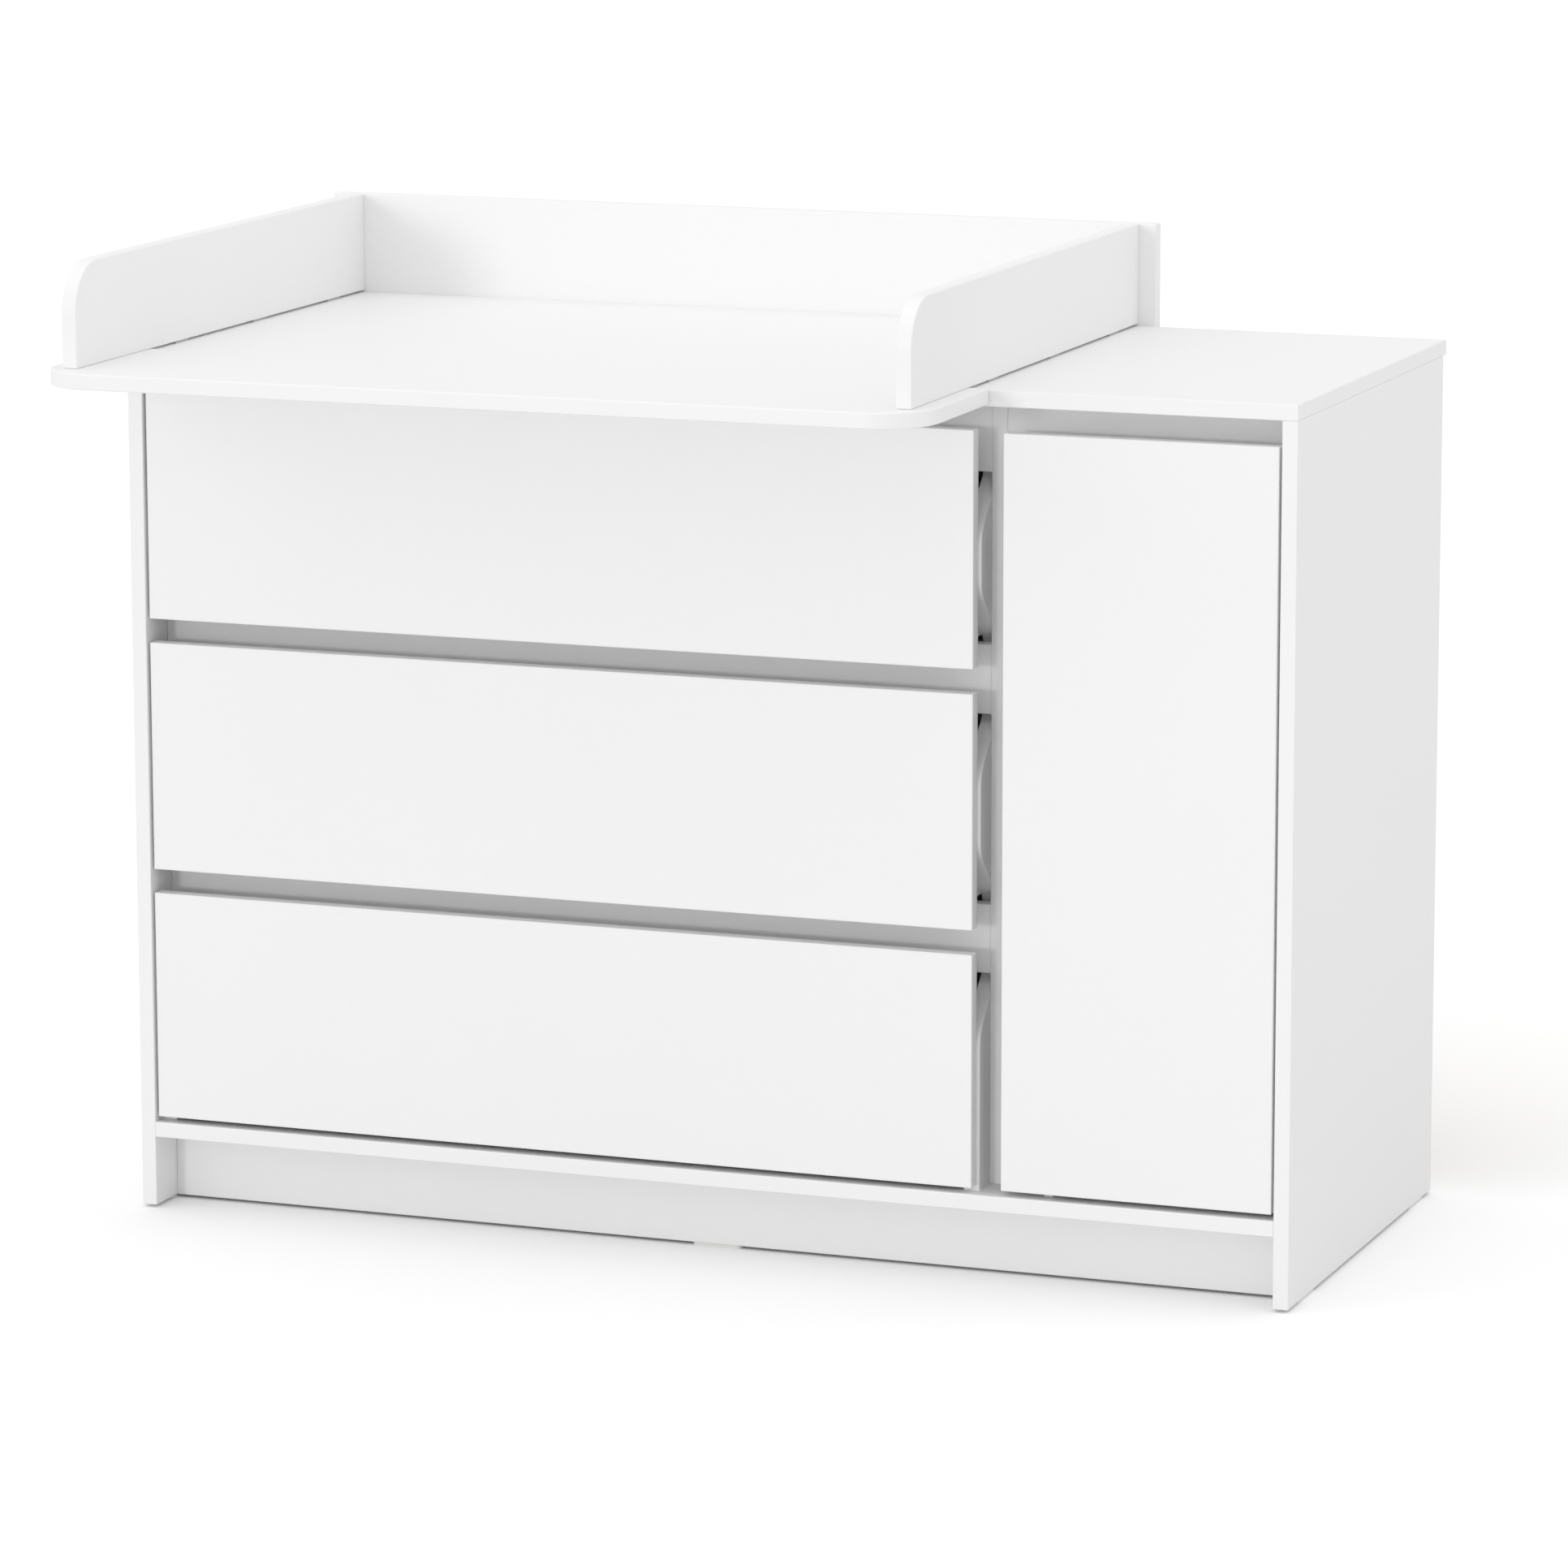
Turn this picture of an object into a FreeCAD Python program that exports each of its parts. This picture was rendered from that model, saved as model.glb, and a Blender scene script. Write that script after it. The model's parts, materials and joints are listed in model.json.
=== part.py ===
import FreeCAD, Part
import Sketcher
import math
import os
import re

doc = FreeCAD.newDocument("ChangingTable")

# Driving dimensions in millimetres. They are measured from the left side panel's outer face
# (across), from the front edge of the carcass (along, towards the back) and from the floor (up).
sizes = {
    "board": 16,
    "carcass_width": 1243.5,
    "side_depth": 521.5,
    "top_depth": 532,
    "carcass_height": 900,
    "edge_ease": 1.0,
    "rear_clearance": 4,
    "glide_height": 3,
    "glide_length": 54,
    "glide_width": 14,
    "glide_front": 42,
    "glide_rear": 442,
    "glide_corner": 6,
    "bottom_level": 76,
    "recess": 50,
    "drawer_bay": 900,
    "top_rail_low": 812,
    "rail_height": 70,
    "rail_rise": 17.5,
    "liner_front": 18.8,
    "liner_notch": 72,
    "notch_margin": 25,
    "notch_crest_radius": 31,
    "notch_root_radius": 15,
    "front_setback": 2.3,
    "front_gap": 3,
    "front_height": 237.4,
    "front_pitch": 262.3,
    "lowest_front": 97.7,
    "door_top": 858,
    "door_pull_gap": 12,
    "door_hinge_gap": 3.2,
    "hdf": 3,
    "back_margin": 3,
    "back_joint": 1,
    "shelf_low": 340,
    "shelf_high": 600,
    "shelf_front": 60,
    "shelf_clearance": 1,
    "pin_front": 100,
    "pin_rear": 60,
    "pin_radius": 2.5,
    "pin_reach": 6,
    "pin_hole_radius": 2.6,
    "pin_hole_depth": 8,
    "pin_collar": 1.5,
    "pin_collar_radius": 3.4,
    "nail_head_radius": 3.5,
    "nail_head": 0.8,
    "nail_inset": 8,
    "box_board": 12,
    "box_height": 155,
    "box_depth": 450,
    "box_lift": 26,
    "groove_depth": 6,
    "groove_lift": 10,
    "runner_gap": 12.7,
    "runner_length": 430,
    "runner_height": 28,
    "runner_drop": 2,
    "runner_setback": 12,
    "runner_lead": 4,
    "channel_flange": 10,
    "section_reach": 8.7,
    "roller_inset": 3,
    "roller_front": 26,
    "roller_rear": 12,
    "roller_play": 0.5,
    "axle_radius": 2.5,
    "sheet_steel": 1.2,
    "roller_radius": 10,
    "roller_width": 6,
    "plate_overhang": 6,
    "plate_width": 936,
    "plate_reach": 207,
    "plate_gap": 1.5,
    "plate_lift": 2,
    "plate_corner": 60,
    "guard_inset": 19,
    "guard_height": 105,
    "guard_reach": 173,
    "guard_corner": 50,
    "guard_ease": 1.5,
    "guard_screw_front": 30,
    "guard_screw_rear": 110,
    "guard_screw_inset": 25,
    "pad_margin": 2,
    "pad_length": 30,
    "pad_front": 60,
    "pad_pitch": 190,
    "back_board_low": 864,
    "cup_radius": 17.3,
    "cup_inner": 15.5,
    "cup_depth": 10.5,
    "cup_inset": 22.5,
    "hinge_offset": 100,
    "cup_play": 0.1,
    "cup_rim": 1.2,
    "cup_floor": 1,
    "wing_half_width": 7,
    "wing_half_height": 31,
    "knuckle_inset": 19.5,
    "knuckle_width": 8,
    "knuckle_front": 9,
    "knuckle_back": 62,
    "knuckle_half_height": 5,
    "arm_inset": 12,
    "arm_width": 19,
    "arm_wall": 1.5,
    "arm_front": 21,
    "arm_back": 85,
    "arm_half_height": 8,
    "hinge_plate": 2,
    "hinge_plate_half_height": 28,
    "hinge_plate_margin": 2,
    "pedestal_inset": 16.5,
    "pedestal_front": 48,
    "pedestal_back": 82,
    "pedestal_half_height": 6.4,
    "catch_offset": 40,
    "catch_width": 9,
    "catch_front": 20.5,
    "catch_back": 62,
    "catch_height": 16,
    "strike_margin": 3,
    "strike_lift": 1.5,
    "strike_height": 11.5,
    "screw_head": 2,
    "screw_head_radius": 4.2,
    "screw_radius": 2,
    "screw_length": 45,
    "pilot_radius": 2.1,
    "pilot_depth": 35,
    "guard_pilot_depth": 30,
}

sheet = doc.addObject("Spreadsheet::Sheet", "Sizes")
for row, (name, number) in enumerate(sizes.items(), start=1):
    sheet.set(f"A{row}", name)
    sheet.set(f"B{row}", str(number))
    sheet.setAlias(f"B{row}", name)
doc.recompute()

# Places that several pieces share, as formulas of the driving dimensions.
middle_across = "(carcass_width - plate_overhang) / 2"
middle_along = "(top_depth + board + screw_head - plate_reach) / 2"
right_side = "(carcass_width - board)"
partition = "(board + drawer_bay)"
door_bay = "(drawer_bay + 2 * board)"
floor_top = "(bottom_level + board)"
under_top = "(carcass_height - board)"
rail_back = "(recess + board)"
front_back = "(front_setback + board)"
liner_left_face = "(2 * board)"
liner_right_face = "drawer_bay"
door_left = "(drawer_bay + 2 * board + door_pull_gap)"
door_right = "(carcass_width - board - door_hinge_gap)"
plate_top = "(carcass_height + plate_lift)"
plate_right = "(plate_width - plate_overhang)"
levels = {"lower": 0, "middle": 1, "upper": 2}

nodes = []


def formula(text):
    """A formula whose names are the sheet's, as setExpression wants it."""
    return re.sub(r"[a-z_]+", lambda word: ("Sizes." if word.group() in sizes else "") + word.group(), text)


def keep(piece):
    """Marks a finished piece as a sub-part of its own."""
    nodes.append(piece)
    return piece


def place(piece, spot):
    """Moves a piece's own origin to a spot; the model's origin is the middle of the footprint."""
    for axis, value, middle in zip("xyz", spot, (middle_across, middle_along, "0")):
        piece.setExpression(f"Placement.Base.{axis}", formula(f"({value}) - ({middle})"))
    return piece


def outline(body, plane, corners):
    """A closed polygon on one of the body's planes, each corner held by two formulas."""
    sketch = body.newObject("Sketcher::SketchObject", "Outline")
    feature = next(item for item in body.Origin.OriginFeatures if item.Role == plane)
    sketch.AttachmentSupport = (feature, [""])
    sketch.MapMode = "FlatFace"
    count = len(corners)
    turns = [2 * math.pi * index / count for index in range(count)]
    spots = [FreeCAD.Vector(math.cos(turn), math.sin(turn), 0) for turn in turns]
    for index in range(count):
        sketch.addGeometry(Part.LineSegment(spots[index], spots[(index + 1) % count]), False)
    for index in range(count):
        sketch.addConstraint(Sketcher.Constraint("Coincident", index, 2, (index + 1) % count, 1))
    for index, corner in enumerate(corners):
        for kind, axis, value in (("DistanceX", -2, corner[0]), ("DistanceY", -1, corner[1])):
            if value == "0":
                sketch.addConstraint(Sketcher.Constraint("PointOnObject", index, 1, axis))
            else:
                held = sketch.addConstraint(Sketcher.Constraint(kind, -1, 1, index, 1, 1.0))
                sketch.setExpression(f"Constraints[{held}]", formula(value))
    return sketch


def padded(label, plane, corners, length):
    """A body of one polygon padded by a length; on the XZ plane it grows towards the back."""
    body = doc.addObject("PartDesign::Body", label)
    body.Label = label
    sketch = outline(body, plane, corners)
    pad = body.newObject("PartDesign::Pad", "Panel")
    pad.Profile = sketch
    pad.Reversed = plane == "XZ_Plane"
    pad.setExpression("Length", formula(length))
    doc.recompute()
    return body


def round_edges(body, chosen, radius):
    """Rounds the edges that pass a test."""
    solid = body.Tip
    names = [f"Edge{index}" for index, edge in enumerate(solid.Shape.Edges, start=1) if chosen(edge.BoundBox)]
    fillet = body.newObject("PartDesign::Fillet", "Corner")
    fillet.Base = (solid, names)
    fillet.setExpression("Radius", formula(radius))
    doc.recompute()


def ease_edges(body, radius):
    """Takes the sharpness off every edge."""
    solid = body.Tip
    fillet = body.newObject("PartDesign::Fillet", "Ease")
    fillet.Base = (solid, ["Edge1"])
    fillet.UseAllEdges = True
    fillet.setExpression("Radius", formula(radius))
    doc.recompute()


def groove(body, low, size):
    """Cuts a box out of a body, in the body's own axes."""
    tool = body.newObject("PartDesign::SubtractiveBox", "Groove")
    for name, value in zip(("Length", "Width", "Height"), size):
        tool.setExpression(name, formula(value))
    for axis, value in zip("xyz", low):
        tool.setExpression(f"Placement.Base.{axis}", formula(value))


directions = {
    "x": FreeCAD.Rotation(FreeCAD.Vector(0, 1, 0), 90),
    "y": FreeCAD.Rotation(FreeCAD.Vector(1, 0, 0), -90),
    "z": FreeCAD.Rotation(),
}


def drill(body, spot, direction, radius, depth):
    """Cuts a round hole from a spot along X, Y or Z, in the body's own axes."""
    tool = body.newObject("PartDesign::SubtractiveCylinder", "Hole")
    tool.setExpression("Radius", formula(radius))
    tool.setExpression("Height", formula(depth))
    tool.Placement = FreeCAD.Placement(FreeCAD.Vector(), directions[direction])
    for axis, value in zip("xyz", spot):
        tool.setExpression(f"Placement.Base.{axis}", formula(value))


def board(label, low, high, ease="edge_ease"):
    """A rectangular panel between two opposite corners."""
    wide, deep, tall = [f"(({far}) - ({near}))" for near, far in zip(low, high)]
    corners = [("0", "0"), (wide, "0"), (wide, deep), ("0", deep)]
    body = padded(label, "XY_Plane", corners, tall)
    if ease:
        ease_edges(body, ease)
    return place(body, low)


def block(label, low, high):
    """A plain box between two opposite corners."""
    box = doc.addObject("Part::Box", label)
    for name, near, far in zip(("Length", "Width", "Height"), low, high):
        box.setExpression(name, formula(f"({far}) - ({near})"))
    return place(box, low)


def rod(label, spot, direction, radius, length):
    """A round bar that starts at a spot and runs along X, Y or Z."""
    bar = doc.addObject("Part::Cylinder", label)
    bar.setExpression("Radius", formula(radius))
    bar.setExpression("Height", formula(length))
    bar.Placement = FreeCAD.Placement(FreeCAD.Vector(), directions[direction])
    return place(bar, spot)


def group(label, pieces):
    """Identical fittings that share one sub-part as separate solids."""
    together = doc.addObject("Part::Compound", label)
    together.Label = label
    together.Links = pieces
    return keep(together)


def fused(label, pieces):
    """Several shapes that make one piece."""
    joined = doc.addObject("Part::MultiFuse", label)
    joined.Shapes = pieces
    return joined


def cut(label, solid, tool):
    """One shape with another taken out of it."""
    remainder = doc.addObject("Part::Cut", label)
    remainder.Base = solid
    remainder.Tool = tool
    return remainder


def rail_top(level):
    """Upper edge of the rail that lies behind the finger gap under a drawer front."""
    return f"(lowest_front + {levels[level]} * front_pitch + rail_rise)"


def front_low(level):
    """Lower edge of a drawer front."""
    return f"(lowest_front + {levels[level]} * front_pitch)"


# Carcass: two sides, a top that oversails them at the back, a bottom, a partition and rails.
shelf_rows = ("shelf_low", "shelf_high")
pin_places = ("pin_front", "side_depth - pin_rear")


def pin_holes(body, low, start):
    """Blind holes for the shelf pins."""
    for shelf in shelf_rows:
        for along in pin_places:
            spot = (start, f"{along} - ({low[1]})", f"{shelf} - pin_radius - ({low[2]})")
            drill(body, spot, "x", "pin_hole_radius", "pin_hole_depth + 1")


keep(board("left_side_panel", ("0", "0", "glide_height"), ("board", "side_depth", under_top)))
side_low = (right_side, "0", "glide_height")
right_panel = board("right_side_panel", side_low, ("carcass_width", "side_depth", under_top))
pin_holes(right_panel, side_low, "-1")
keep(right_panel)

top = board("top_board", ("0", "0", under_top), ("carcass_width", "top_depth", "carcass_height"))
back_screw_places = [f"plate_width * {share} - plate_overhang" for share in (0.22, 0.5, 0.78)]
for across in back_screw_places:
    drill(top, (across, "top_depth - pilot_depth", "board / 2"), "y", "pilot_radius", "pilot_depth + 1")
keep(top)

keep(board("bottom_board", ("board", "0", "bottom_level"), (right_side, "side_depth", floor_top)))

partition_low = (partition, "recess", floor_top)
divider = board("centre_partition", partition_low, (door_bay, "side_depth", under_top))
pin_holes(divider, partition_low, "board - pin_hole_depth")
keep(divider)

for label, along in (("plinth_front", "recess"), ("plinth_rear", "side_depth - board")):
    keep(board(label, ("board", along, "glide_height"), (right_side, f"{along} + board", "bottom_level")))

rails = {
    "drawer_rail_top": ("board", partition, "top_rail_low", under_top),
    "drawer_rail_upper": ("board", partition, f"{rail_top('upper')} - rail_height", rail_top("upper")),
    "drawer_rail_lower": ("board", partition, f"{rail_top('middle')} - rail_height", rail_top("middle")),
    "door_rail_top": (door_bay, right_side, "top_rail_low", under_top),
}
for label, (left, right, low, high) in rails.items():
    keep(board(label, (left, "recess", low), (right, rail_back, high)))


def notch(low, high):
    """Corners of one notch in a liner's front edge, where a rail passes; its flanks slope at 45 degrees."""
    depth = "(liner_notch - liner_front)"
    reach = "(recess - liner_front)"
    start = f"({low}) - notch_margin - ({floor_top})"
    end = f"({high}) + notch_margin - ({floor_top})"
    return [
        ("0", f"{start} - {reach}"),
        (depth, f"{start} + {depth} - {reach}"),
        (depth, f"{end} - {depth} + {reach}"),
        ("0", f"{end} + {reach}"),
    ]


def liner(label, across):
    """A board inside the drawer bay that carries the runners; its front edge waves around the rails."""
    height = f"{under_top} - ({floor_top})"
    depth = "side_depth - rear_clearance - liner_front"
    corners = [("0", "0")]
    for name in ("drawer_rail_lower", "drawer_rail_upper"):
        corners += notch(*rails[name][2:])
    corners += notch(*rails["drawer_rail_top"][2:])[:2]
    corners += [("liner_notch - liner_front", height), (depth, height), (depth, "0")]
    body = padded(label, "YZ_Plane", corners, "board")
    tall = body.Shape.BoundBox.ZMax
    hollow = sizes["liner_notch"] - sizes["liner_front"]

    def crossing_at(depth):
        """Picks the edges that cross the board's thickness at a depth behind its front."""
        return lambda box: (1 < box.ZMin and box.ZMax < tall - 1 and box.XLength > 1
                            and abs(box.YMin - depth) < 0.1 and box.YLength < 0.1)

    round_edges(body, crossing_at(0), "notch_crest_radius")
    round_edges(body, crossing_at(hollow), "notch_root_radius")
    return keep(place(body, (across, "liner_front", floor_top)))


liner("liner_left", "board")
liner("liner_right", "drawer_bay")

split = "(drawer_bay + board * 1.5)"
for label, left, right in (("back_panel_drawers", "back_margin", f"{split} - back_joint / 2"),
                           ("back_panel_cupboard", f"{split} + back_joint / 2", "carcass_width - back_margin")):
    back_corner = (left, "side_depth", "bottom_level + back_margin")
    keep(block(label, back_corner, (right, "side_depth + hdf", f"{under_top} - back_joint")))

for label, shelf in (("cupboard_shelf_lower", "shelf_low"), ("cupboard_shelf_upper", "shelf_high")):
    corner = (f"{door_bay} + shelf_clearance", "shelf_front", shelf)
    far_corner = (f"{right_side} - shelf_clearance", "side_depth - rear_clearance", f"{shelf} + board")
    keep(board(label, corner, far_corner))

pins = []
for shelf in shelf_rows:
    for along in pin_places:
        for face, way in ((door_bay, 1), (right_side, -1)):
            shank = f"{face} - (pin_hole_depth - 1)" if way > 0 else f"{face} - pin_reach"
            collar = face if way > 0 else f"{face} - pin_collar"
            up = f"{shelf} - pin_radius"
            pin = rod("PinShank", (shank, along, up), "x", "pin_radius", "pin_reach + pin_hole_depth - 1")
            rim = rod("PinCollar", (collar, along, f"{up} - 1"), "x", "pin_collar_radius", "pin_collar")
            pins.append(fused("ShelfPin", [pin, rim]))
group("shelf_pins", pins)


def glide(across, along, turned):
    """A stadium-shaped foot with its length across or along."""
    wide, deep = ("glide_length", "glide_width") if turned else ("glide_width", "glide_length")
    body = padded("Glide", "XY_Plane", [("0", "0"), (wide, "0"), (wide, deep), ("0", deep)], "glide_height")
    round_edges(body, lambda box: box.ZLength > 1, "glide_corner")
    return place(body, (across, along, "0"))


glide_margin = "(board - glide_width) / 2"
for end, along, plinth in (("front", "glide_front", "recess"), ("rear", "glide_rear", "side_depth - board")):
    group(f"glides_{end}", [
        glide(glide_margin, along, False),
        glide("(carcass_width - glide_length) / 2", f"{plinth} + {glide_margin}", True),
        glide(f"{right_side} + {glide_margin}", along, False),
    ])

nails = []
nail_rows = 5
nail_step = f"({under_top} - {floor_top}) / {nail_rows - 1}"
nail_heights = [f"{floor_top} - nail_inset + {row} * {nail_step}" for row in range(nail_rows)]
nail_columns = ("nail_inset", f"{partition} + board / 4", f"{partition} + board * 0.75",
                "carcass_width - nail_inset")
for across in nail_columns:
    for up in nail_heights:
        nails.append(rod("Nail", (across, "side_depth + hdf", up), "y", "nail_head_radius", "nail_head"))
group("back_panel_nails", nails)

# Changing unit: a front plate flush with the top, two guard rails and a board along the back.
guard_lefts = ("guard_inset - plate_overhang", f"{plate_right} - guard_inset - board")
guard_screw_places = ("guard_screw_front", "guard_screw_rear")
guard_screw_ups = ("guard_screw_inset", "guard_height - guard_screw_inset")
plate_depth = "plate_reach - plate_gap"
plate = padded("extension_plate", "XY_Plane", [
    ("0", "0"), ("plate_width", "0"), ("plate_width", plate_depth), ("0", plate_depth),
], "board")
round_edges(plate, lambda box: box.ZLength > 5 and box.YMax < 1, "plate_corner")
ease_edges(plate, "guard_ease")
for left in guard_lefts:
    for along in guard_screw_places:
        spot = (f"{left} + plate_overhang + board / 2", f"plate_reach - guard_reach + {along}", "-1")
        drill(plate, spot, "z", "pilot_radius", "board + 2")
keep(place(plate, ("-plate_overhang", "-plate_reach", f"{plate_top} - board")))

guard_depth = "guard_reach + top_depth"
for label, left in zip(("guard_rail_left", "guard_rail_right"), guard_lefts):
    guard = padded(label, "XY_Plane", [
        ("0", "0"), ("board", "0"), ("board", guard_depth), ("0", guard_depth),
    ], "guard_height")
    round_edges(guard, lambda box: box.YMax < 1 and box.ZMin > 50, "guard_corner")
    ease_edges(guard, "guard_ease")
    for along in guard_screw_places:
        drill(guard, ("board / 2", along, "-1"), "z", "pilot_radius", "guard_pilot_depth + 1")
    for up in guard_screw_ups:
        drill(guard, ("board / 2", f"{guard_depth} - pilot_depth", up), "y", "pilot_radius", "pilot_depth + 1")
    keep(place(guard, (left, "-guard_reach", plate_top)))

back_low = ("-plate_overhang", "top_depth", "back_board_low")
back_high = (plate_right, "top_depth + board", f"{plate_top} + guard_height")
back_board = board("guard_back_board", back_low, back_high, "guard_ease")
back_screws = [(across, "carcass_height - board / 2") for across in back_screw_places]
for left in guard_lefts:
    back_screws += [(f"{left} + board / 2", f"{plate_top} + {up}") for up in guard_screw_ups]
for across, up in back_screws:
    spot = (f"{across} + plate_overhang", "-1", f"{up} - back_board_low")
    drill(back_board, spot, "y", "pilot_radius", "board + 2")
keep(back_board)


def screw(spot, direction, way):
    """A pan-head screw; the spot is where its head meets the board and way is the side it bites into."""
    axis = "xyz".index(direction)
    head_spot = list(spot)
    shank_spot = list(spot)
    if way > 0:
        head_spot[axis] += " - screw_head"
    else:
        shank_spot[axis] += " - screw_length"
    shank = rod("Shank", shank_spot, direction, "screw_radius", "screw_length")
    head = rod("Head", head_spot, direction, "screw_head_radius", "screw_head")
    return fused("Screw", [shank, head])


plate_screws = []
for left in guard_lefts:
    for along in guard_screw_places:
        spot = (f"{left} + board / 2", f"{along} - guard_reach", f"{plate_top} - board")
        plate_screws.append(screw(spot, "z", 1))
group("plate_screws", plate_screws)
group("back_board_screws", [screw((across, "top_depth + board", up), "y", -1) for across, up in back_screws])

pads = []
for left in guard_lefts:
    for along in [f"pad_front + {count} * pad_pitch" for count in range(3)]:
        pads.append(block("Pad", (f"{left} + pad_margin", along, "carcass_height"),
                          (f"{left} + board - pad_margin", f"{along} + pad_length", plate_top)))
group("guard_pads", pads)

# Door: an inset panel hinged at its right edge on two concealed hinges.
door_low = (door_left, "front_setback", "lowest_front")
hinge_ups = ("lowest_front + hinge_offset", "door_top - hinge_offset")
door = board("door_panel", door_low, (door_right, front_back, "door_top"))
for up in hinge_ups:
    spot = (f"{door_right} - cup_inset - {door_left}", "board - cup_depth - cup_play", f"{up} - lowest_front")
    drill(door, spot, "y", "cup_radius + cup_play", "cup_depth + 1")
keep(door)

cups = []
cup_across = f"{door_right} - cup_inset"
for up in hinge_ups:
    shell = rod("Shell", (cup_across, f"{front_back} - cup_depth", up), "y", "cup_radius", "cup_depth")
    rim = rod("Rim", (cup_across, front_back, up), "y", "cup_radius + cup_rim", "sheet_steel")
    wing = block("Wing", (f"{cup_across} - wing_half_width", front_back, f"{up} - wing_half_height"),
                 (f"{cup_across} + wing_half_width", f"{front_back} + sheet_steel", f"{up} + wing_half_height"))
    hollow_low = (cup_across, f"{front_back} - cup_depth + cup_floor", up)
    hollow = rod("Hollow", hollow_low, "y", "cup_inner", "cup_depth + 2")
    cups.append(cut("Cup", fused("CupBody", [shell, rim, wing]), hollow))
group("hinge_cups", cups)

# Each hinge's knuckle slides in a U-shaped arm, which a pedestal and plate hold on the side panel.
def across_hinge(label, sides, depths, up, half_height):
    """A block of a hinge, level with its cup, between two places across and two along."""
    far, near = sides
    front, back = depths
    return block(label, (far, front, f"{up} - ({half_height})"), (near, back, f"{up} + {half_height}"))


knuckles, arms, plates = [], [], []
for up in hinge_ups:
    sides = (f"{door_right} - knuckle_inset - knuckle_width", f"{door_right} - knuckle_inset")
    depths = ("front_setback + knuckle_front", "front_setback + knuckle_back")
    knuckles.append(across_hinge("Knuckle", sides, depths, up, "knuckle_half_height"))
    arm_left = f"{door_right} - arm_inset - arm_width"
    arm_right = f"{door_right} - arm_inset"
    shell = across_hinge("ArmShell", (arm_left, arm_right), ("arm_front", "arm_back"), up, "arm_half_height")
    hollow = across_hinge("ArmHollow", (f"{arm_left} + arm_wall", f"{arm_right} + 1"),
                          ("arm_front - 1", "arm_back + 1"), up, "arm_half_height - arm_wall")
    arms.append(cut("Arm", shell, hollow))
    sides = (f"{door_right} - pedestal_inset", f"{right_side} - hinge_plate")
    pedestal = across_hinge("Pedestal", sides, ("pedestal_front", "pedestal_back"), up, "pedestal_half_height")
    depths = ("pedestal_front - hinge_plate_margin", "pedestal_back + hinge_plate_margin")
    sides = (f"{right_side} - hinge_plate", right_side)
    base = across_hinge("Base", sides, depths, up, "hinge_plate_half_height")
    plates.append(fused("Plate", [pedestal, base]))
group("hinge_knuckles", knuckles)
group("hinge_arms", arms)
group("hinge_plates", plates)

catch_left = f"{door_left} + catch_offset"
catch_right = f"{catch_left} + catch_width"
keep(block("door_catch", (catch_left, "catch_front", floor_top),
           (catch_right, "catch_back", f"{floor_top} + catch_height")))
strike_low = "lowest_front + strike_lift"
keep(block("door_strike", (f"{catch_left} - strike_margin", front_back, strike_low),
           (f"{catch_right} + strike_margin", f"{front_back} + sheet_steel", f"{strike_low} + strike_height")))

# Drawers: a front, two sides, a back, a thin bottom in grooves and a pair of roller runners each.
box_left = f"({liner_left_face} + runner_gap)"
box_right = f"({liner_right_face} - runner_gap)"
box_rear = f"({front_back} + box_depth)"


def flipped(width, mirror, across):
    """A distance across, or the same distance counted from the other side."""
    return f"{width} - ({across})" if mirror else across


def runner_profile(label, corners, mirror, spot, length):
    """A bent steel section of a runner, mirrored for the right side."""
    turned = [(flipped("runner_gap", mirror, across), up) for across, up in corners]
    return place(padded(label, "XZ_Plane", turned, length), spot)


def runners(level):
    """The fixed channels with their front rollers, then the moving sections with their rear rollers."""
    low = f"({front_low(level)} + box_lift - runner_drop)"
    thin, tall, flange = "sheet_steel", "runner_height", "channel_flange"
    channel = [
        ("0", "0"), (flange, "0"), (flange, thin), (thin, thin),
        (thin, f"{tall} - {thin}"), (flange, f"{tall} - {thin}"), (flange, tall), ("0", tall),
    ]
    track = f"({tall} / 2 + roller_radius + roller_play)"
    reach = "(runner_gap - section_reach)"
    section = [
        ("runner_gap", "0"), ("runner_gap", f"{track} + {thin}"), (reach, f"{track} + {thin}"), (reach, track),
        (f"runner_gap - {thin}", track), (f"runner_gap - {thin}", "0"),
    ]
    start = f"({front_back} + runner_setback)"
    front_axle = f"({front_back} + roller_front)"
    rear_axle = f"({front_back} + runner_length - roller_rear)"
    beyond = "(roller_inset + roller_width)"
    fixed, moving = [], []
    for mirror, gap_low in ((False, liner_left_face), (True, box_right)):
        fixed.append(runner_profile("Channel", channel, mirror, (gap_low, start, low), "runner_length"))
        moving_spot = (gap_low, f"{start} - runner_lead", low)
        moving.append(runner_profile("Section", section, mirror, moving_spot, "runner_length"))
        up = f"{low} + {tall} / 2"
        for pieces, along, axle, length in ((fixed, front_axle, thin, f"roller_inset - {thin}"),
                                            (moving, rear_axle, beyond, f"runner_gap - {beyond} - {thin}")):
            roller = f"{gap_low} + " + flipped("(runner_gap - roller_width)", mirror, "roller_inset")
            pieces.append(rod("Roller", (roller, along, up), "x", "roller_radius", "roller_width"))
            axle_low = f"{gap_low} + " + flipped(f"(runner_gap - ({length}))", mirror, axle)
            pieces.append(rod("Axle", (axle_low, along, up), "x", "axle_radius", length))
    group(f"{level}_drawer_channels", fixed)
    group(f"{level}_drawer_runners", moving)


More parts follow.
